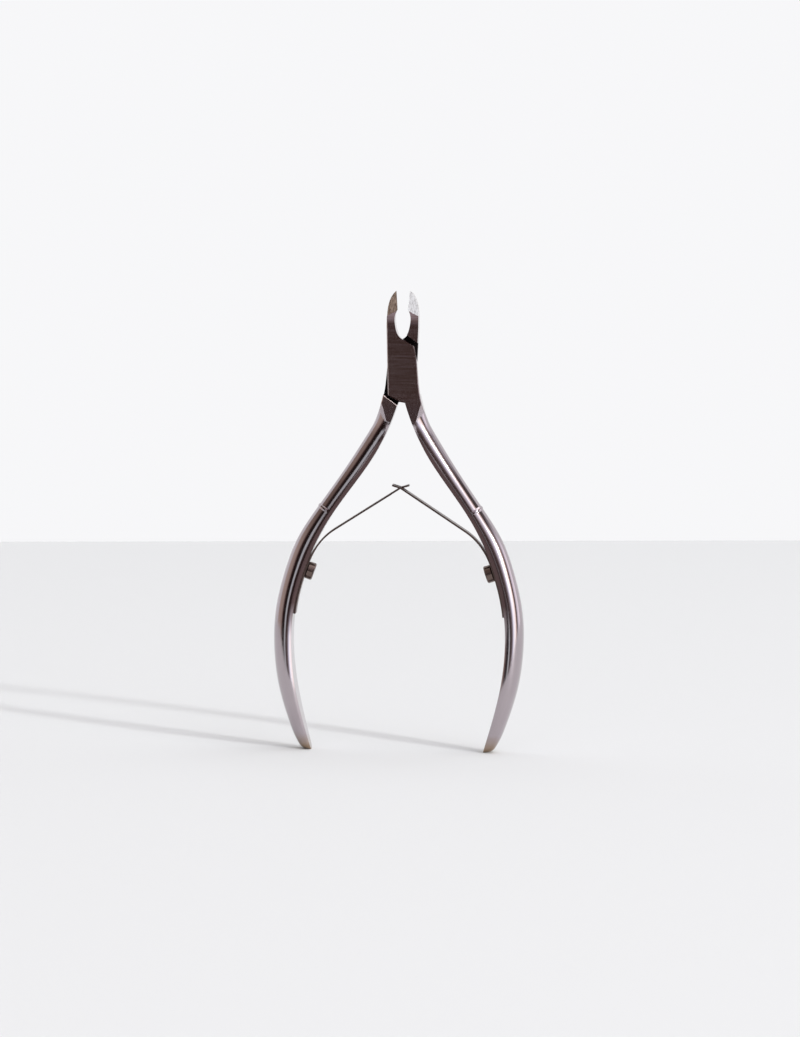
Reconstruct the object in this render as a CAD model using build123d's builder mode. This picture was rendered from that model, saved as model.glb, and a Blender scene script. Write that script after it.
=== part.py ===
"""Cuticle nipper: two lapped levers on a rivet, held open by two interlocking leaf springs.

The nipper stands upright on its handle tips, jaws up. X is to the right, Y points away from the
front lap plate, and Z is up. It is modelled open, with each lever turned 5 degrees from closed.
"""
from build123d import *
from math import acos, cos, degrees, radians, sin
import os

os.makedirs("parts", exist_ok=True)

# Levers and lap joint (mm, degrees)
pivot_height = 82.9
open_half_angle = 5.0
half_thickness = 3.0
lap_gap = 0.06
edge_gap = 0.04
lap_chamfer = 0.18
box_bottom = -7.45
flat_bottom = -30.0
tool_depth = 6.0

# Cutting edge, measured from the pivot
edge_low = 12.55
edge_high = 16.6
jaw_taper_start = 8.2
jaw_top = 17.5
tip_half_thickness = 1.6
facet_angle = 17.0
facet_low_depth = 2.4
facet_high_depth = 1.45
relief_angle = 8.0

# Pivot rivet
rivet_diameter = 3.2
rivet_head_diameter = 4.8
rivet_head_depth = 0.9
rivet_clearance = 0.04

# Section of the handle at its bead, and the bead across it
handle_depth = 3.5
handle_half_width = 2.65
handle_widest = 0.3
bead_distance = 30.3
bead_width = 1.1
bead_height = 0.22
bead_sink = 0.1

# Leaf springs
leaf_thickness = 0.38
leaf_width = 3.6
leaf_clearance = 0.03
crossing_height = 57.05
span_angle = 33.0
span_length = 16.8
tip_angle = 17.0
tongue_width = 1.5
slot_width = 1.9
slot_length = 3.4
head_half_width = 1.3
free_end_length = 1.9
tail_distance = 53.7
leave_distance = 41.0

# Spring screws, M2 slotted cheese head
screw_distance = 43.8
screw_diameter = 2.0
head_diameter = 3.8
head_height = 1.6
slot_cut_width = 0.5
slot_cut_depth = 0.6
thread_depth = 3.0

FRONT_VIEW = Plane(origin=(0, 0, pivot_height), x_dir=(1, 0, 0), z_dir=(0, -1, 0))
SIDE_VIEW = Plane(origin=(0, 0, pivot_height), x_dir=(0, 1, 0), z_dir=(1, 0, 0))

# Inner face of the right handle, from above the lap shoulder down to the tip: (x, height)
inner_edge = Edge.make_spline(
    [
        Vector(x, 0, z)
        for x, z in (
            (0.2, 77.6),
            (2.0, 71.8),
            (6.25, 63.2),
            (14.9, 50.75),
            (20.3, 39.6),
            (22.7, 30.0),
            (23.05, 23.7),
            (22.25, 14.7),
            (20.55, 7.0),
            (18.6, 0.0),
        )
    ]
)
handle_length = inner_edge.length

# Sections of the handle: (distance along the inner face, depth, half width, place of the widest
# point as a share of the depth). Each is an ellipse cut off flat on its inner side.
handle_sections = (
    (0.0, 5.9, 6.2, 0.0),
    (3.1, 4.6, 4.7, 0.0),
    (6.8, 3.4, 3.1, 0.05),
    (11.0, 3.55, 2.75, 0.2),
    (20.0, 3.65, 2.5, handle_widest),
    (bead_distance, handle_depth, handle_half_width, handle_widest),
    (34.0, 3.75, 2.8, handle_widest),
    (38.0, 4.05, 2.95, handle_widest),
    (42.0, 4.08, 3.13, handle_widest),
    (46.0, 4.0, 3.33, handle_widest),
    (50.0, 4.0, 3.55, handle_widest),
    (54.0, 4.02, 3.78, handle_widest),
    (60.0, 3.98, 4.12, handle_widest),
    (64.0, 3.92, 4.33, handle_widest),
    (68.0, 3.8, 4.42, handle_widest),
    (71.0, 3.62, 4.25, handle_widest),
    (74.0, 3.4, 3.9, handle_widest),
    (77.0, 3.14, 3.45, handle_widest),
    (handle_length - 4.2, 2.87, 3.0, handle_widest),
    (handle_length - 1.9, 2.35, 2.5, handle_widest),
    (handle_length - 0.5, 1.4, 1.9, handle_widest),
    (handle_length, 0.5, 1.2, handle_widest),
)


def handle_plane(distance, offset=0.0):
    """Plane across the right handle: x points out of the handle's back, z points down its length."""
    down = inner_edge.tangent_at(distance, position_mode=PositionMode.LENGTH)
    outward = down.cross(Vector(0, 1, 0))
    start = inner_edge.position_at(distance, position_mode=PositionMode.LENGTH)
    return Plane(origin=start + outward * offset, x_dir=outward, z_dir=down)


def seat_plane(offset=0.0):
    """Plane on the handle's inner face at the spring screw: z points inward, off the face."""
    section = handle_plane(screw_distance, -offset)
    return Plane(origin=section.origin, x_dir=(0, 1, 0), z_dir=section.x_dir * -1)


def edge_point(radius):
    """Point of the left jaw's cutting edge, this far from the pivot, in the front view."""
    a = radians(open_half_angle)
    return (-radius * sin(a) - edge_gap / 2, radius * cos(a))


def facet_point(radius, y):
    """Point of the left jaw's cutting edge in space."""
    x, height = edge_point(radius)
    return Vector(x, y, pivot_height + height)


def handle_section(depth, half_width, widest):
    """Ellipse that is cut off flat on the local Y axis, widest at this share of its depth."""
    centre = widest * depth
    radius = depth - centre
    half_arc = degrees(acos(-centre / radius))
    with BuildLine() as outline:
        back = EllipticalCenterArc(
            (centre, 0), radius, half_width, start_angle=-half_arc, arc_size=2 * half_arc
        )
        Line(back @ 1, back @ 0)
    return make_face(outline.edges(), mode=Mode.PRIVATE)


def cut_beyond(plane, length, width):
    """Remove everything in front of a plane, over a rectangle about its origin."""
    with BuildSketch(plane) as window:
        Rectangle(length, width)
    extrude(window.sketch, amount=tool_depth, mode=Mode.SUBTRACT)


def lever_forging(edge_side):
    """One lever: left jaw, front lap plate and right handle. Its edge is ground at y = edge_side."""
    with BuildPart() as forging:
        # Handle, running up into the box
        for distance, depth, half_width, widest in handle_sections:
            with BuildSketch(handle_plane(distance)):
                add(handle_section(depth, half_width, widest))
        loft()
        with BuildSketch(FRONT_VIEW):
            with Locations((0, box_bottom)):
                Rectangle(16, 26, align=(Align.CENTER, Align.MIN))
        extrude(amount=half_thickness, both=True)

        # Front outline of the jaw, the box and the handle's root
        with BuildSketch(FRONT_VIEW):
            with BuildLine():
                cutting_edge = Line(edge_point(edge_low), edge_point(edge_high))
                Spline(cutting_edge @ 1, (-2.3, 15.6), (-3.3, 12.3), (-3.4, 9.2), (-3.28, 4.9),
                       tangents=[(-0.8, -0.6), (0.36, -10.8)])
                Polyline((-3.28, 4.9), (-2.92, -5.9), (-0.25, -7.3), (0.7, box_bottom), (0, -9.5),
                         (-1.5, -40), (0, -pivot_height), (40, -pivot_height), (40, -30), (9.5, -14.5),
                         (5.6, -11.1))
                Spline((5.6, -11.1), (4.5, -8.0), (3.85, -5.2), (3.3, 0), (2.55, 4.7))
                Line((2.55, 4.7), (0.13, 6.14))
                Spline((0.13, 6.14), (-0.95, 7.1), (-1.55, 8.9), (-1.7, 10.8), cutting_edge @ 0)
            make_face()
        extrude(amount=tool_depth, both=True, mode=Mode.INTERSECT)

        # Flat front and back from the jaws down to the handle's root
        for side in (1, -1):
            with BuildSketch(FRONT_VIEW.offset(side * half_thickness)):
                with Locations((0, flat_bottom)):
                    Rectangle(40, 60, align=(Align.CENTER, Align.MIN))
            extrude(amount=side * tool_depth, mode=Mode.SUBTRACT)

        # Rounded bead across the handle's back
        for offset, rise in ((-bead_width / 2, -bead_sink), (0, bead_height), (bead_width / 2, -bead_sink)):
            with BuildSketch(handle_plane(bead_distance + offset)):
                add(handle_section(handle_depth + rise, handle_half_width + rise, handle_widest))
        loft()

        # Pocket behind the lap plate, between the two shoulders
        with BuildSketch(FRONT_VIEW.offset(lap_gap / 2)):
            Polygon((-4.5, 4.51), (0.6, 8.27), (6, 8.27), (6, -4.22), (-0.5, -8.95), (-4.5, -8.95),
                    align=None)
        extrude(amount=-half_thickness - lap_gap, mode=Mode.SUBTRACT)

        # Thin chamfers round the flat faces
        side_faces = forging.faces().filter_by(Axis.Y)
        flat_sides = [f for f in side_faces if abs(f.center().Y) > half_thickness - 0.01]
        rims = ShapeList(e for f in flat_sides for e in f.edges())
        chamfer(rims.filter_by_position(Axis.Z, pivot_height - 7.2, pivot_height + 5.3), lap_chamfer)

        # Jaw thinned towards its tip on both sides
        with BuildSketch(SIDE_VIEW):
            with BuildLine():
                shoulder = TangentArc((half_thickness, jaw_taper_start), (2.5, 12.2), tangent=(0, 1))
                Polyline(shoulder @ 1, (tip_half_thickness, jaw_top), (4, jaw_top), (4, jaw_taper_start),
                         shoulder @ 0)
            make_face()
            mirror(about=Plane.YZ)
        extrude(amount=5, both=True, mode=Mode.SUBTRACT)

        # Ground facet that slopes back from the cutting edge, and the relief behind the edge
        low = facet_point(edge_low, facet_low_depth * edge_side)
        high = facet_point(edge_high, facet_high_depth * edge_side)
        along = (high - low).normalized()
        across = Vector(-cos(radians(facet_angle)), -edge_side * sin(radians(facet_angle)), 0)
        facet_normal = along.cross(across).normalized() * -edge_side
        with BuildSketch(Plane(origin=low, x_dir=along, z_dir=facet_normal)) as facet:
            Polygon((0.2, edge_side), (6, edge_side), (6, -3 * edge_side), (-1.5, -3 * edge_side),
                    align=None)
        extrude(facet.sketch, amount=tool_depth, mode=Mode.SUBTRACT)
        behind = Vector(-sin(radians(relief_angle)), -edge_side * cos(radians(relief_angle)), 0)
        relief_normal = along.cross(behind).normalized() * edge_side
        cut_beyond(Plane(origin=high, x_dir=along, z_dir=relief_normal), 2 * (edge_high - edge_low) + 3, 12)

        # Small flat that the tip stands on
        split(bisect_by=Plane.XY, keep=Keep.TOP)

        # Tapped hole for the spring screw
        with Locations(seat_plane()):
            Hole(screw_diameter / 2, depth=thread_depth)
    return forging.part


def tail_point(distance):
    """Middle of the leaf where it lies on the right handle's inner face."""
    return handle_plane(distance, -leaf_clearance - leaf_thickness / 2).origin


def span_plane(offset=0.0):
    """Plane of the right leaf's straight span at the crossing: x runs towards the leaf's free end."""
    a = radians(span_angle)
    free_end = Vector(-cos(a), 0, sin(a))
    above = Vector(sin(a), 0, cos(a))
    return Plane(origin=Vector(0, 0, crossing_height) + free_end * offset, x_dir=free_end, z_dir=above)


def flat(point):
    """A point or direction in the XZ plane, as the sketch's two coordinates."""
    return (point.X, point.Z)


def leaf_blank():
    """Right leaf, full width: tail along the handle, bend, straight span and flatter free end."""
    bend_end = span_plane(-span_length).origin
    crossing = span_plane().origin
    free_end = crossing + Vector(-cos(radians(tip_angle)), 0, sin(radians(tip_angle))) * free_end_length
    tail_step = (tail_distance - leave_distance) / 3
    tail = [flat(tail_point(tail_distance - i * tail_step)) for i in range(4)]
    tail_start = flat(handle_plane(tail_distance).z_dir * -1)
    tail_end = flat(handle_plane(leave_distance - 2).z_dir * -1)
    with BuildPart() as leaf:
        with BuildSketch(Plane.XZ):
            with BuildLine():
                Spline(tail, tangents=[tail_start, tail_end])
                Spline(tail[-1], flat(bend_end), tangents=[tail_end, flat(crossing - bend_end)])
                Polyline(flat(bend_end), flat(crossing), flat(free_end))
            trace(line_width=leaf_thickness)
        extrude(amount=leaf_width / 2, both=True)
        with BuildSketch(seat_plane()):
            Circle(screw_diameter / 2 + 0.1)
        extrude(amount=2 * leaf_thickness, mode=Mode.SUBTRACT)
    return leaf.part


def screw_solid():
    """Slotted cheese-head screw in the right handle's tapped hole."""
    seat = leaf_thickness + 2 * leaf_clearance
    with BuildPart() as screw:
        with BuildSketch(seat_plane(seat)):
            Circle(head_diameter / 2)
        extrude(amount=head_height)
        head_rims = screw.edges().filter_by(GeomType.CIRCLE)
        chamfer(head_rims, 0.2)
        with BuildSketch(seat_plane(seat)):
            Circle(screw_diameter / 2 - 0.02)
        extrude(amount=-seat - thread_depth + 0.2)
        with BuildSketch(seat_plane(seat + head_height)):
            Rectangle(slot_cut_width, head_diameter + 1)
        extrude(amount=-slot_cut_depth, mode=Mode.SUBTRACT)
    return screw.part


with BuildPart() as front_lever:
    add(lever_forging(-1))
    with BuildSketch(FRONT_VIEW):
        Circle(rivet_diameter / 2)
    extrude(amount=half_thickness + 1, both=True, mode=Mode.SUBTRACT)
front_lever.part.label = "front_lever"
export_step(front_lever.part, "parts/front_lever.step")

with BuildPart() as rear_lever:
    add(lever_forging(1).rotate(Axis.Z, 180))
    with BuildSketch(FRONT_VIEW):
        Circle(rivet_diameter / 2 + rivet_clearance)
    extrude(amount=half_thickness + 1, both=True, mode=Mode.SUBTRACT)
    with BuildSketch(FRONT_VIEW.offset(-half_thickness)):
        Circle(rivet_head_diameter / 2 + rivet_clearance)
    with BuildSketch(FRONT_VIEW.offset(rivet_head_depth - half_thickness)):
        Circle(rivet_diameter / 2 + rivet_clearance)
    loft(mode=Mode.SUBTRACT)
rear_lever.part.label = "rear_lever"
export_step(rear_lever.part, "parts/rear_lever.step")

with BuildPart() as pivot_rivet:
    with BuildSketch(FRONT_VIEW):
        Circle(rivet_diameter / 2)
    extrude(amount=half_thickness, both=True)
    with BuildSketch(FRONT_VIEW.offset(-half_thickness)):
        Circle(rivet_head_diameter / 2)
    with BuildSketch(FRONT_VIEW.offset(rivet_head_depth - half_thickness)):
        Circle(rivet_diameter / 2)
    loft()
pivot_rivet.part.label = "pivot_rivet"
export_step(pivot_rivet.part, "parts/pivot_rivet.step")

# The right leaf has a closed slot at the crossing and a rounded free end
with BuildPart() as right_spring:
    add(leaf_blank())
    with BuildSketch(span_plane()):
        SlotOverall(slot_length, slot_width)
    extrude(amount=1, both=True, mode=Mode.SUBTRACT)
right_spring.part.label = "right_spring"
export_step(right_spring.part, "parts/right_spring.step")

# The left leaf narrows to a tongue through that slot, with a T head beyond it
with BuildPart() as left_spring:
    add(leaf_blank())
    for side in (-1, 1):
        with BuildSketch(span_plane()):
            with BuildLine():
                Polyline((-2.4, side * 3), (-2.4, side * tongue_width / 2), (1.0, side * tongue_width / 2),
                         (1.0, side * head_half_width), (4, side * head_half_width), (4, side * 3),
                         close=True)
            make_face()
        extrude(amount=2, both=True, mode=Mode.SUBTRACT)
left_spring.part = left_spring.part.rotate(Axis.Z, 180)
left_spring.part.label = "left_spring"
export_step(left_spring.part, "parts/left_spring.step")

with BuildPart() as right_spring_screw:
    add(screw_solid())
right_spring_screw.part.label = "right_spring_screw"
export_step(right_spring_screw.part, "parts/right_spring_screw.step")

with BuildPart() as left_spring_screw:
    add(screw_solid().rotate(Axis.Z, 180))
left_spring_screw.part.label = "left_spring_screw"
export_step(left_spring_screw.part, "parts/left_spring_screw.step")
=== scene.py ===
"""Cuticle nipper on a pale studio table: camera, room light, worn steel and leaf springs cut into rings.
"""
from math import acos, cos, radians, sin

import bmesh
import bpy
import numpy as np
from mathutils import Euler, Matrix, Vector


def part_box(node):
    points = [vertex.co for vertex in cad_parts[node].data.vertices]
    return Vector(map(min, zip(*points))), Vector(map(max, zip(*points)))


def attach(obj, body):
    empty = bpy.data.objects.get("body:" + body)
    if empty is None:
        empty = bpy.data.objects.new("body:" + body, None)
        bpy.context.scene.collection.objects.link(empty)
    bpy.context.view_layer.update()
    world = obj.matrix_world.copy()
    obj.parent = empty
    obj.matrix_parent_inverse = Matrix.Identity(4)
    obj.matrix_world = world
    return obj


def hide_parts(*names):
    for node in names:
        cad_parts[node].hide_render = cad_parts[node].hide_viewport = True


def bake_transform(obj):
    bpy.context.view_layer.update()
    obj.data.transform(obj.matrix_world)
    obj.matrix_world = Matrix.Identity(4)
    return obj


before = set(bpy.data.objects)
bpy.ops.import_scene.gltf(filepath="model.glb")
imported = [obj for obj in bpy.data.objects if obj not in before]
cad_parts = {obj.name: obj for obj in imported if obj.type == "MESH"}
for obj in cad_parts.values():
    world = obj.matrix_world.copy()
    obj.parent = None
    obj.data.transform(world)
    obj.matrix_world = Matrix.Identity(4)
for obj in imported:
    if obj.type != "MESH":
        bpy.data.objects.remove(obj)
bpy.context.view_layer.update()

# Camera, in metres and degrees, with its lens in millimetres
CAMERA_AZIMUTH = 3.0
CAMERA_PITCH = 4.36
CAMERA_DISTANCE = 0.802
CAMERA_SIDE = -0.0001
CAMERA_HEIGHT = 0.1115
CAMERA_ROLL = 0.8
CAMERA_CLIP = 0.01
LENS = 129.4

# Table and wall, in metres. The table's far edge is farther away on the right.
TABLE_EDGE = 0.552
TABLE_EDGE_SLOPE = 0.19
TABLE_FRONT = 0.34
TABLE_COLOUR = (0.735, 0.76, 0.765)
TABLE_ROUGHNESS = 0.7
TABLE_SHEEN = 0.1
PANEL_REACH = 3
WALL_DISTANCE = 0.6
WALL_BOTTOM = -1
WALL_TOP = 2.5
WALL_COLOUR = (0.985, 0.985, 1.0)
WALL_STRENGTH = 0.945

# Softboxes: (azimuth, elevation, distance, size, power), in degrees, metres and watts
KEY_LIGHT = (42.0, 19.0, 3.0, 0.2, 50.0)
OVERHEAD_LIGHT = (-90, 80, 2.0, 3.0, 13.0)
LIGHT_AIM = Vector((0, 0, 0.05))

# Brightness and colour round the room, by angle in degrees from the camera round towards the right of
# the picture: a dark room in front, a broad softbox to the right, and a warm dim wall to the left.
ROOM = (
    (-90, (0.55, 0.42, 0.35)),
    (-79, (0.5, 0.42, 0.37)),
    (-68, (0.42, 0.33, 0.28)),
    (-58, (0.09, 0.045, 0.045)),
    (-49, (0.02, 0.012, 0.010)),
    (-32, (0.022, 0.013, 0.012)),
    (-20, (0.06, 0.032, 0.032)),
    (-8, (0.07, 0.042, 0.04)),
    (4, (0.08, 0.05, 0.047)),
    (12, (0.17, 0.13, 0.13)),
    (22, (0.38, 0.35, 0.37)),
    (30, (1.0, 1.05, 1.25)),
    (40, (1.85, 1.92, 2.0)),
    (60, (1.95, 1.87, 1.75)),
    (68, (0.9, 0.6, 0.48)),
    (73, (0.06, 0.035, 0.03)),
    (79, (0.06, 0.04, 0.035)),
    (86, (0.9, 0.86, 0.94)),
    (100, (1.5, 1.45, 1.55)),
    (130, (1.0, 0.95, 1.0)),
    (180, (0.9, 0.9, 0.95)),
    (215, (0.9, 0.88, 0.88)),
    (245, (0.65, 0.58, 0.56)),
    (270, (0.55, 0.42, 0.35)),
)
ROOM_PEAK = 2.5
ROOM_POWER = 1.1
# Colour of the upper room, by how far to the right it lies: -1 is left and 1 is right
CEILING = (
    (-0.97, (0.34, 0.26, 0.22)),
    (-0.86, (0.18, 0.125, 0.1)),
    (-0.76, (0.09, 0.06, 0.05)),
    (-0.66, (0.04, 0.025, 0.022)),
    (-0.5, (0.05, 0.03, 0.028)),
    (-0.35, (0.36, 0.29, 0.24)),
    (-0.1, (0.6, 0.53, 0.58)),
    (0.15, (0.62, 0.56, 0.62)),
    (0.4, (1.85, 1.87, 1.95)),
    (0.62, (1.9, 1.82, 1.72)),
    (0.71, (0.7, 0.46, 0.38)),
    (0.77, (0.05, 0.03, 0.025)),
    (0.84, (0.05, 0.033, 0.03)),
    (0.91, (0.9, 0.86, 0.92)),
    (1.0, (1.2, 1.15, 1.2)),
)
# Heights over which the walls turn into the ceiling, as parts of a unit direction. The ceiling starts
# lower straight in front, and this ends between two values of how far away the direction points.
CEILING_START = (0.3, 0.55)
FRONT_CEILING_START = (0.12, 0.4)
STRAIGHT_IN_FRONT = (-0.95, -0.8)
# A pale screen in front and to the left, placed for the left handle to mirror. Its top and bottom are
# limits of the height plus a share of the way to the right, so they slant.
SCREEN_COLOUR = tuple(c / ROOM_PEAK for c in (0.68, 0.74, 0.76))
SCREEN_LEFT = (-0.5, -0.42)
SCREEN_RIGHT = (-0.21, -0.15)
SCREEN_BOTTOM = (-0.36, -0.24)
SCREEN_TOP = (-0.08, -0.03)
SCREEN_SLANT = 0.67

# Heights in metres over which the levers' finish changes
LEVEL_LINES_START = (0.0735, 0.0765)
INNER_SHADE_START = (0.025, 0.032)
INNER_SHADE_END = (0.07, 0.074)
STAIN_END = (0.0022, 0.0052)
LAP_START = (0.0725, 0.073)
FACET_START = (0.0935, 0.0938)
# Other limits of the finishes: parts of the normal, and metres from the middle of the depth or width
INNER_SHADE_INWARD = (-0.09, 0.0)
LAP_MIDDLE = (0.0002, 0.0004)
LAP_FACING = (0.8, 0.9)
FACET_SIDEWAYS = (0.15, 0.2)
FACET_FORWARD = (-0.8, -0.7)
LEFT_TO_RIGHT = (-0.0005, 0.0005)
FADE_OUT = (1.0, 0.0)

# Steel colours. A pair is the darker and the lighter tone of the grain.
HANDLE_TONES = ((0.40, 0.345, 0.365), (0.50, 0.45, 0.475))
BOX_TONES = ((0.38, 0.3, 0.27), (0.52, 0.45, 0.46))
# Painted reflection: warm tones for the left facet and cool ones for the right facet
LEFT_FACET_REFLECTION_TONES = ((0.55, 0.43, 0.34), (0.85, 0.7, 0.58))
RIGHT_FACET_REFLECTION_TONES = ((0.17, 0.165, 0.165), (0.36, 0.36, 0.37))
# Painted shade for the inner side of the upper handles
INNER_SHADE_COLOUR = (0.1, 0.065, 0.065)
STAIN_COLOUR = (0.33, 0.24, 0.17)
# Painted shade for the lap's inner faces
LAP_GAP_SHADE_COLOUR = (0.012, 0.009, 0.009)
STRIP_COLOUR = (0.14, 0.1, 0.09)
SCREW_COLOUR = (0.17, 0.125, 0.11)

# Roughness
POLISHED = (0.1, 0.15)
GROUND = (0.32, 0.55)
LAP_GAP_ROUGHNESS = 0.6
STRIP_ROUGHNESS = (0.25, 0.4)
SCREW_ROUGHNESS = (0.15, 0.3)

# Grain: noise scale of each kind of line, and the factor on the coordinate that runs along the lines
STREAK_SCALE = 2600.0
STREAK_STRETCH = 0.03
LEVEL_SCALE = 3200.0
LEVEL_STRETCH = 0.05
STROKE_SCALE = 5200.0
STROKE_STRETCH = 0.08
SMALL_PIECE_SCALE = 1500.0
DARKER_SHARE = 0.8
STRIP_STRETCH = (0.1, 1, 0.1)
SCREW_STRETCH = (1, 1, 1)
SMUDGE_SCALE = 190.0
STAIN_WAVER = 0.003
NOISE_DETAIL = 3.0
NOISE_ROUGHNESS = 0.65
WIDE_CONTRAST = (0.3, 0.7)
STRONG_CONTRAST = (0.35, 0.65)
RELIEF_DEPTH = 0.00001
LEVER_RELIEF = 0.015
SMALL_PIECE_RELIEF = 0.15


def turned(x, y, z=0.0):
    """A point given in the camera's own right, away and up."""
    a = radians(CAMERA_AZIMUTH)
    return (x * cos(a) - y * sin(a), x * sin(a) + y * cos(a), z)


def camera():
    """Camera at the height of the jaws, looking slightly down at the nipper's front."""
    data = bpy.data.cameras.new("camera")
    data.lens = LENS
    data.clip_start = CAMERA_CLIP
    ob = bpy.data.objects.new("camera", data)
    bpy.context.collection.objects.link(ob)
    ob.location = turned(CAMERA_SIDE, -CAMERA_DISTANCE, CAMERA_HEIGHT)
    ob.rotation_mode = "XYZ"
    look = Euler((radians(90 - CAMERA_PITCH), 0, radians(CAMERA_AZIMUTH))).to_matrix()
    roll = Euler((0, 0, radians(CAMERA_ROLL))).to_matrix()
    ob.rotation_euler = (look @ roll).to_euler()
    bpy.context.scene.camera = ob


def new_material(name):
    """A material with its node tree and its Principled shader."""
    material = bpy.data.materials.new(name)
    material.use_nodes = True
    tree = material.node_tree
    shader = next(n for n in tree.nodes if n.type == "BSDF_PRINCIPLED")
    return material, tree, shader


def maths(tree, operation, *values):
    """A Math node whose inputs are sockets or numbers."""
    node = tree.nodes.new("ShaderNodeMath")
    node.operation = operation
    for i, value in enumerate(values):
        if isinstance(value, (int, float)):
            node.inputs[i].default_value = value
        else:
            tree.links.new(value, node.inputs[i])
    return node.outputs[0]


def product(tree, first, *others):
    """All these sockets or numbers multiplied together."""
    for other in others:
        first = maths(tree, "MULTIPLY", first, other)
    return first


def parts_of(tree, vector):
    """The three parts of a vector socket."""
    split = tree.nodes.new("ShaderNodeSeparateXYZ")
    tree.links.new(vector, split.inputs[0])
    return split.outputs


def blend_colour(tree, factor, first, second):
    """A colour mix whose colours are sockets or triples."""
    node = tree.nodes.new("ShaderNodeMix")
    node.data_type = "RGBA"
    tree.links.new(factor, node.inputs["Factor"])
    for name, value in (("A", first), ("B", second)):
        if isinstance(value, tuple):
            node.inputs[name].default_value = (*value, 1)
        else:
            tree.links.new(value, node.inputs[name])
    return node.outputs["Result"]


def ramp(tree, value, low_value, high_value, low_result=0.0, high_result=1.0):
    """A clamped linear map of a value."""
    node = tree.nodes.new("ShaderNodeMapRange")
    for name, number in (("From Min", low_value), ("From Max", high_value),
                         ("To Min", low_result), ("To Max", high_result)):
        node.inputs[name].default_value = number
    tree.links.new(value, node.inputs["Value"])
    return node.outputs["Result"]


def fine_lines(tree, x, y, z, scale):
    """Noise over three scaled coordinates, so that it runs in lines along the least scaled one."""
    place = tree.nodes.new("ShaderNodeCombineXYZ")
    for i, value in enumerate((x, y, z)):
        tree.links.new(value, place.inputs[i])
    noise = tree.nodes.new("ShaderNodeTexNoise")
    noise.inputs["Scale"].default_value = scale
    noise.inputs["Detail"].default_value = NOISE_DETAIL
    noise.inputs["Roughness"].default_value = NOISE_ROUGHNESS
    tree.links.new(place.outputs[0], noise.inputs["Vector"])
    return noise.outputs["Fac"]


def add_relief(tree, shader, height, strength):
    """Very shallow bumps that follow the grain."""
    bump = tree.nodes.new("ShaderNodeBump")
    bump.inputs["Strength"].default_value = strength
    bump.inputs["Distance"].default_value = RELIEF_DEPTH
    tree.links.new(height, bump.inputs["Height"])
    tree.links.new(bump.outputs["Normal"], shader.inputs["Normal"])


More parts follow.
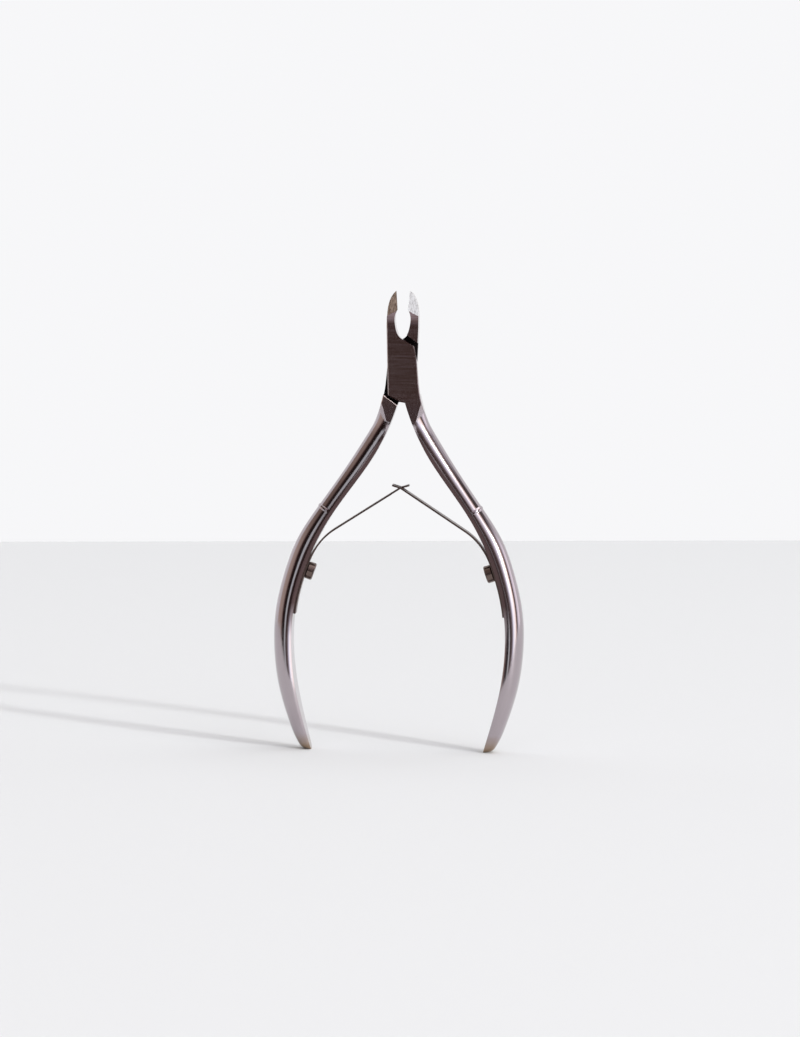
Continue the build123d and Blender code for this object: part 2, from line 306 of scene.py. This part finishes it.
def lever_metal(name):
    """Polished forging: lines along the handles, level lines on the box, and the marks listed below."""
    material, tree, shader = new_material(name)
    shader.inputs["Metallic"].default_value = 1.0
    place = tree.nodes.new("ShaderNodeTexCoord")
    x, y, z = parts_of(tree, place.outputs["Object"])
    facing_x, facing_y, _ = parts_of(tree, place.outputs["Normal"])

    # Streaks along the handles. Their meshes carry the place across and along the handle as "lay".
    lay = tree.nodes.new("ShaderNodeAttribute")
    lay.attribute_name = "lay"
    across, along, side = parts_of(tree, lay.outputs["Vector"])
    streaks = fine_lines(tree, across, product(tree, along, STREAK_STRETCH), side, STREAK_SCALE)

    # Level grinding lines round the box
    level = fine_lines(tree, product(tree, x, LEVEL_STRETCH), product(tree, y, LEVEL_STRETCH), z,
                       LEVEL_SCALE)
    on_box = ramp(tree, z, *LEVEL_LINES_START)
    mixed = tree.nodes.new("ShaderNodeMix")
    tree.links.new(on_box, mixed.inputs["Factor"])
    tree.links.new(streaks, mixed.inputs["A"])
    tree.links.new(level, mixed.inputs["B"])
    grain = mixed.outputs["Result"]

    # Wear is half grain and half broad smudges
    smudges = fine_lines(tree, x, y, z, SMUDGE_SCALE)
    wear = maths(tree, "MULTIPLY_ADD", grain, 0.5, product(tree, smudges, 0.5))
    steel = blend_colour(tree, wear, *HANDLE_TONES)
    lined = blend_colour(tree, ramp(tree, level, *STRONG_CONTRAST), *BOX_TONES)
    steel = blend_colour(tree, on_box, steel, lined)

    # Painted shade on the inner side of the upper handles, where the surface turns inward
    inward = product(tree, facing_x, maths(tree, "SIGN", x))
    # "scale" below is the mask of this painted shade
    scale = product(tree, ramp(tree, inward, *INNER_SHADE_INWARD, *FADE_OUT), ramp(tree, z, *INNER_SHADE_START),
                    ramp(tree, z, *INNER_SHADE_END, *FADE_OUT))
    steel = blend_colour(tree, scale, steel, INNER_SHADE_COLOUR)

    # Warm stain at the handle tips
    tip = maths(tree, "ADD", z, product(tree, smudges, STAIN_WAVER))
    steel = blend_colour(tree, ramp(tree, tip, *STAIN_END), STAIN_COLOUR, steel)

    # Painted shade, near black, on the lap's inner faces, which lie at the middle of the depth and face
    # along Y
    lapped = product(tree, ramp(tree, maths(tree, "ABSOLUTE", y), *LAP_MIDDLE, *FADE_OUT),
                     ramp(tree, z, *LAP_START),
                     ramp(tree, maths(tree, "ABSOLUTE", facing_y), *LAP_FACING))
    steel = blend_colour(tree, lapped, steel, LAP_GAP_SHADE_COLOUR)

    # Coarser grinding on the jaws' facets, in lines that run up the cutting edge
    strokes = fine_lines(tree, x, y, product(tree, z, STROKE_STRETCH), STROKE_SCALE)
    ground = product(tree, ramp(tree, z, *FACET_START),
                     ramp(tree, maths(tree, "ABSOLUTE", facing_x), *FACET_SIDEWAYS),
                     ramp(tree, facing_y, *FACET_FORWARD, *FADE_OUT))
    shine = ramp(tree, strokes, *STRONG_CONTRAST)
    # Painted reflection: the left facet gets warm tones and the right facet cool ones
    warm = blend_colour(tree, shine, *LEFT_FACET_REFLECTION_TONES)
    cool = blend_colour(tree, shine, *RIGHT_FACET_REFLECTION_TONES)
    stroked = blend_colour(tree, ramp(tree, x, *LEFT_TO_RIGHT), warm, cool)
    tree.links.new(blend_colour(tree, ground, steel, stroked), shader.inputs["Base Color"])

    polished = ramp(tree, wear, *WIDE_CONTRAST, *POLISHED)
    coarse = product(tree, ground, ramp(tree, strokes, *WIDE_CONTRAST, *GROUND))
    dull = product(tree, lapped, LAP_GAP_ROUGHNESS)
    rough = maths(tree, "MAXIMUM", maths(tree, "MAXIMUM", polished, coarse), dull)
    tree.links.new(rough, shader.inputs["Roughness"])
    add_relief(tree, shader, grain, LEVER_RELIEF)
    return material


def small_metal(name, colour, roughness, stretch):
    """Steel of a small piece: fine lines along the axes of small factor, and a little drift in colour."""
    material, tree, shader = new_material(name)
    shader.inputs["Metallic"].default_value = 1.0
    place = parts_of(tree, tree.nodes.new("ShaderNodeTexCoord").outputs["Object"])
    scaled = [product(tree, place[i], stretch[i]) for i in range(3)]
    lines = fine_lines(tree, *scaled, SMALL_PIECE_SCALE)
    tree.links.new(ramp(tree, lines, *WIDE_CONTRAST, *roughness), shader.inputs["Roughness"])
    darker = tuple(DARKER_SHARE * c for c in colour)
    tree.links.new(blend_colour(tree, lines, darker, colour), shader.inputs["Base Color"])
    add_relief(tree, shader, lines, SMALL_PIECE_RELIEF)
    return material


def table_paint():
    """Matt pale paint of the table."""
    material, _, shader = new_material("table_paint")
    shader.inputs["Base Color"].default_value = (*TABLE_COLOUR, 1)
    shader.inputs["Roughness"].default_value = TABLE_ROUGHNESS
    shader.inputs["Specular IOR Level"].default_value = TABLE_SHEEN
    return material


def wall_light():
    """Even glow of the wall behind the table."""
    material, tree, _ = new_material("wall_light")
    tree.nodes.clear()
    light = tree.nodes.new("ShaderNodeEmission")
    light.inputs["Color"].default_value = (*WALL_COLOUR, 1)
    light.inputs["Strength"].default_value = WALL_STRENGTH
    out = tree.nodes.new("ShaderNodeOutputMaterial")
    tree.links.new(light.outputs["Emission"], out.inputs["Surface"])
    return material


def panel(name, corners, material):
    """A four-cornered stage panel."""
    mesh = bpy.data.meshes.new(name)
    mesh.from_pydata(corners, [], [(0, 1, 2, 3)])
    ob = bpy.data.objects.new(name, mesh)
    ob.data.materials.append(material)
    bpy.context.collection.objects.link(ob)


def area_light(name, azimuth, elevation, distance, size, power):
    """A square softbox. Azimuth 0 is to the camera's right, and 90 is straight towards the camera."""
    data = bpy.data.lights.new(name, "AREA")
    data.shape = "SQUARE"
    data.size = size
    data.energy = power
    ob = bpy.data.objects.new(name, data)
    a, e = radians(azimuth), radians(elevation)
    ob.location = turned(cos(a) * cos(e) * distance, -sin(a) * cos(e) * distance, sin(e) * distance)
    ob.rotation_euler = (LIGHT_AIM - ob.location).to_track_quat("-Z", "Y").to_euler()
    bpy.context.collection.objects.link(ob)


def colours_along(tree, value, stops):
    """A colour ramp over a value, through (position, colour) stops, as shares of the room's peak."""
    node = tree.nodes.new("ShaderNodeValToRGB")
    tree.links.new(value, node.inputs["Fac"])
    elements = node.color_ramp.elements
    elements[0].position = stops[0][0]
    elements[1].position = stops[-1][0]
    for position, _ in stops[1:-1]:
        elements.new(position)
    for element, (_, colour) in zip(elements, stops):
        element.color = (*[c / ROOM_PEAK for c in colour], 1)
    return node.outputs["Color"]


def room():
    """World light: colours that change round the room, an upper room, and the pale screen."""
    world = bpy.data.worlds.new("room")
    world.use_nodes = True
    tree = world.node_tree
    turn = tree.nodes.new("ShaderNodeMapping")
    turn.inputs["Rotation"].default_value = (0, 0, -radians(CAMERA_AZIMUTH))
    tree.links.new(tree.nodes.new("ShaderNodeTexCoord").outputs["Generated"], turn.inputs["Vector"])
    x, y, z = parts_of(tree, turn.outputs["Vector"])

    # The radial gradient runs from 0 to 1 once round, and is 0.25 straight in front
    around = tree.nodes.new("ShaderNodeTexGradient")
    around.gradient_type = "RADIAL"
    tree.links.new(turn.outputs["Vector"], around.inputs["Vector"])
    placed = [((0.25 + angle / 360) % 1.0 if angle < 270 else 1.0, colour) for angle, colour in ROOM]
    walls = colours_along(tree, around.outputs["Fac"], sorted(placed))

    front = ramp(tree, y, *STRAIGHT_IN_FRONT, *FADE_OUT)
    near_above = product(tree, ramp(tree, z, *FRONT_CEILING_START), front)
    above = maths(tree, "MAXIMUM", near_above, ramp(tree, z, *CEILING_START))
    ceiling = colours_along(tree, ramp(tree, x, -1.0, 1.0),
                            [((place + 1) / 2, colour) for place, colour in CEILING])
    light = blend_colour(tree, above, walls, ceiling)

    slant = maths(tree, "MULTIPLY_ADD", x, SCREEN_SLANT, z)
    screen = product(tree, ramp(tree, x, *SCREEN_LEFT), ramp(tree, x, *SCREEN_RIGHT, *FADE_OUT),
                     ramp(tree, slant, *SCREEN_BOTTOM), ramp(tree, slant, *SCREEN_TOP, *FADE_OUT))
    background = tree.nodes["Background"]
    tree.links.new(blend_colour(tree, screen, light, SCREEN_COLOUR), background.inputs["Color"])
    background.inputs["Strength"].default_value = ROOM_PEAK * ROOM_POWER
    bpy.context.scene.world = world


def studio():
    """Pale table, paler wall behind it, a small key light from the right and soft light from above."""
    skew = PANEL_REACH * TABLE_EDGE_SLOPE
    left, right, far = -PANEL_REACH, PANEL_REACH, TABLE_EDGE + WALL_DISTANCE
    panel("table", [turned(left, -TABLE_FRONT), turned(right, -TABLE_FRONT),
                    turned(right, TABLE_EDGE + skew), turned(left, TABLE_EDGE - skew)], table_paint())
    panel("wall", [turned(left, far, WALL_BOTTOM), turned(right, far, WALL_BOTTOM),
                   turned(right, far, WALL_TOP), turned(left, far, WALL_TOP)], wall_light())
    area_light("key", *KEY_LIGHT)
    area_light("overhead", *OVERHEAD_LIGHT)
    room()
    bpy.context.scene.view_settings.view_transform = "Standard"


def set_material(ob, material):
    """Give a piece this material alone."""
    ob.data.materials.clear()
    ob.data.materials.append(material)


camera()
studio()

lever_steel = lever_metal("lever_steel")
strip_steel = small_metal("strip_steel", STRIP_COLOUR, STRIP_ROUGHNESS, STRIP_STRETCH)
screw_steel = small_metal("screw_steel", SCREW_COLOUR, SCREW_ROUGHNESS, SCREW_STRETCH)

set_material(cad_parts["pivot_rivet"], lever_steel)
for screw in ("left_spring_screw", "right_spring_screw"):
    set_material(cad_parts[screw], screw_steel)


# Shape of the handles (mm), as in the CAD model but with a lower bead: inner face of the right handle as
# (x, height), and sections as (distance along it, depth, half width, place of the widest point as a
# share of the depth)
MM = 0.001
INNER_EDGE = ((0.2, 77.6), (2.0, 71.8), (6.25, 63.2), (14.9, 50.75), (20.3, 39.6), (22.7, 30.0),
              (23.05, 23.7), (22.25, 14.7), (20.55, 7.0), (18.6, 0.0))
BEAD_DISTANCE = 30.3
BEAD_HALF_LENGTH = 0.55
BEAD_HEIGHT = 0.16
BEAD_SINK = 0.1
WIDEST = 0.3
SECTIONS = ((0, 5.9, 6.2, 0), (3.1, 4.6, 4.7, 0), (6.8, 3.4, 3.1, 0.05), (11, 3.55, 2.75, 0.2),
            (20, 3.65, 2.5, WIDEST), (BEAD_DISTANCE, 3.5, 2.65, WIDEST), (34, 3.75, 2.8, WIDEST),
            (38, 4.05, 2.95, WIDEST), (42, 4.08, 3.13, WIDEST), (46, 4.0, 3.33, WIDEST),
            (50, 4.0, 3.55, WIDEST), (54, 4.02, 3.78, WIDEST), (60, 3.98, 4.12, WIDEST),
            (64, 3.92, 4.33, WIDEST), (68, 3.8, 4.42, WIDEST), (71, 3.62, 4.25, WIDEST),
            (74, 3.4, 3.9, WIDEST), (77, 3.14, 3.45, WIDEST))
# The last sections, measured back from the tip
TIP_SECTIONS = ((4.2, 2.87, 3.0, WIDEST), (1.9, 2.35, 2.5, WIDEST), (0.5, 1.4, 1.9, WIDEST),
                (0, 0.5, 1.2, WIDEST))
# The smooth handle begins here, and the box's copy reaches a little past it
HANDLE_START = 13.0
BOX_OVERLAP = 0.02
# Rings of vertices: their spacing, the number over the tip, and the points of one ring
RING_STEP = 0.5
BEAD_RING_STEP = 0.07
TIP_LENGTH = 3
TIP_RINGS = 25
ROUND_POINTS = 48
FLAT_POINTS = 6
# Third part of the "lay" attribute, which keeps the streaks of the back and of the inner face apart
BACK_LAY = 0.1
INNER_LAY = 0.2
ARC_SAMPLES = 2001
TANGENT_STEP = 0.01
MERGE_DISTANCE = 1e-7
SHARP_ANGLE = 14
LEAF_STEP = 0.0006


def spline(knots, values):
    """Smooth curve through values at knots, as a function. Its bending is nought at both ends."""
    knots = np.array(knots, float)
    values = np.array(values, float)
    gaps = np.diff(knots)
    slopes = np.diff(values, axis=0) / gaps[:, None]
    system = np.eye(len(knots))
    right = np.zeros_like(values)
    for i in range(1, len(knots) - 1):
        system[i, i - 1:i + 2] = gaps[i - 1], 2 * (gaps[i - 1] + gaps[i]), gaps[i]
        right[i] = 6 * (slopes[i] - slopes[i - 1])
    bends = np.linalg.solve(system, right)

    def at(t):
        i = int(np.clip(np.searchsorted(knots, t) - 1, 0, len(gaps) - 1))
        gap, before, after = gaps[i], t - knots[i], knots[i + 1] - t
        return (bends[i] * after ** 3 / (6 * gap) + bends[i + 1] * before ** 3 / (6 * gap)
                + (values[i] / gap - bends[i] * gap / 6) * after
                + (values[i + 1] / gap - bends[i + 1] * gap / 6) * before)
    return at


def lengths_along(points):
    """Length of a path of points up to each of them."""
    return np.concatenate([[0], np.cumsum(np.linalg.norm(np.diff(points, axis=0), axis=1))])


def inner_line():
    """Inner face of the right handle as a function of the distance along it, and its full length."""
    chords = lengths_along(np.array(INNER_EDGE))
    curve = spline(chords, INNER_EDGE)
    fine = np.linspace(0, chords[-1], ARC_SAMPLES)
    lengths = lengths_along(np.array([curve(t) for t in fine]))
    return lambda distance: curve(np.interp(distance, lengths, fine)), lengths[-1]


inner_point, handle_length = inner_line()


def handle_frame(distance):
    """Point on the inner face, direction down the handle and direction out of its back, in XZ."""
    down = inner_point(min(distance + TANGENT_STEP, handle_length)) - inner_point(distance - TANGENT_STEP)
    down = down / np.linalg.norm(down)
    return inner_point(distance), down, np.array([-down[1], down[0]])


def lever_piece(name, mesh, lever):
    """A forged piece that moves with its lever and stands in for part of the lever's CAD mesh."""
    piece = bpy.data.objects.new(name, mesh)
    bpy.context.collection.objects.link(piece)
    set_material(piece, lever_steel)
    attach(piece, lever + "_body")
    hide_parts(lever)


def handle(name, lever, side):
    """Smooth copy of a lever's handle below the box. Side is 1 on the right and -1 on the left."""
    rows = SECTIONS + tuple((handle_length - d, *rest) for d, *rest in TIP_SECTIONS)
    sizes = spline([row[0] for row in rows], [row[1:] for row in rows])
    bead_start = BEAD_DISTANCE - 2 * BEAD_HALF_LENGTH
    bead_end = BEAD_DISTANCE + 2 * BEAD_HALF_LENGTH
    distances = np.concatenate([np.arange(HANDLE_START, bead_start, RING_STEP),
                                np.arange(bead_start, bead_end, BEAD_RING_STEP),
                                np.arange(bead_end, handle_length - TIP_LENGTH, RING_STEP),
                                np.linspace(handle_length - TIP_LENGTH, handle_length, TIP_RINGS)])
    verts = []
    lay = []
    for distance in distances:
        start, _, out = handle_frame(distance)
        depth, half_width, widest = sizes(distance)
        from_bead = (distance - BEAD_DISTANCE) / BEAD_HALF_LENGTH
        hump = max(0, BEAD_HEIGHT - (BEAD_HEIGHT + BEAD_SINK) * from_bead ** 2)
        centre = widest * depth
        radius = depth - centre
        half_arc = acos(-centre / radius)
        turns = np.linspace(-half_arc, half_arc, ROUND_POINTS)
        ring = []
        for turn in turns:
            # The bead is full height over the back and fades towards the inner face
            rise = hump * min(max(2 * cos(turn), 0), 1)
            ring.append((centre + (radius + rise) * cos(turn), (half_width + rise) * sin(turn)))
        edge = ring[-1][1]
        flat = [edge * (1 - 2 * i / (FLAT_POINTS - 1)) for i in range(FLAT_POINTS)]
        for depth_here, y in ring + [(0, y) for y in flat]:
            x, z = start + out * depth_here
            verts.append((side * x * MM, side * y * MM, max(z, 0) * MM))
        lay += [(half_width * turn * MM, distance * MM, side * BACK_LAY) for turn in turns]
        lay += [(y * MM, distance * MM, side * INNER_LAY) for y in flat]

    # Faces between the rings, leaving out the seam where the back ends and the inner face begins,
    # and one face that closes the tip
    count = ROUND_POINTS + FLAT_POINTS
    faces = []
    for row in range(len(distances) - 1):
        for i in range(count - 1):
            if i != ROUND_POINTS - 1:
                a = row * count + i
                faces.append((a, a + 1, a + 1 + count, a + count))
    faces.append(tuple((len(distances) - 1) * count + i for i in range(ROUND_POINTS)))
    mesh = bpy.data.meshes.new(name)
    mesh.from_pydata(verts, [], faces)
    mesh.attributes.new("lay", "FLOAT_VECTOR", "POINT").data.foreach_set("vector", np.array(lay).ravel())
    mesh.polygons.foreach_set("use_smooth", [True] * len(mesh.polygons))
    mesh.polygons[len(faces) - 1].use_smooth = False
    lever_piece(name, mesh, lever)


def box_part(name, lever, side):
    """Copy of a lever's jaw and box, cut off where the smooth handle begins."""
    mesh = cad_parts[lever].data.copy()
    start, down, _ = handle_frame(HANDLE_START + BOX_OVERLAP)
    bm = bmesh.new()
    bm.from_mesh(mesh)
    bmesh.ops.remove_doubles(bm, verts=bm.verts, dist=MERGE_DISTANCE)
    geom = bm.verts[:] + bm.edges[:] + bm.faces[:]
    bmesh.ops.bisect_plane(bm, geom=geom, plane_co=(side * start[0] * MM, 0, start[1] * MM),
                           plane_no=(side * down[0], 0, down[1]), clear_outer=True)
    for face in bm.faces:
        face.smooth = True
    bm.to_mesh(mesh)
    bm.free()
    if mesh.attributes.get("custom_normal"):
        mesh.attributes.remove(mesh.attributes["custom_normal"])
    mesh.set_sharp_from_angle(angle=radians(SHARP_ANGLE))
    lever_piece(name, mesh, lever)


handle("right_handle", "front_lever", 1)
handle("left_handle", "rear_lever", -1)
box_part("front_box", "front_lever", 1)
box_part("rear_box", "rear_lever", -1)


def leaf(node):
    """The leaf spring, copied with rings of vertices along it at even steps."""
    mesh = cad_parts[node].data.copy()
    piece = bpy.data.objects.new(node + "_strip", mesh)
    bpy.context.collection.objects.link(piece)
    corner_low, corner_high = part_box(node)
    bm = bmesh.new()
    bm.from_mesh(mesh)
    for i in range(1, int((corner_high.x - corner_low.x) / LEAF_STEP)):
        geom = bm.verts[:] + bm.edges[:] + bm.faces[:]
        bmesh.ops.bisect_plane(bm, geom=geom, plane_co=(corner_low.x + i * LEAF_STEP, 0, 0),
                               plane_no=(1, 0, 0))
    bm.to_mesh(mesh)
    bm.free()
    set_material(piece, strip_steel)
    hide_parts(node)
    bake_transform(piece)


leaf("left_spring")
leaf("right_spring")
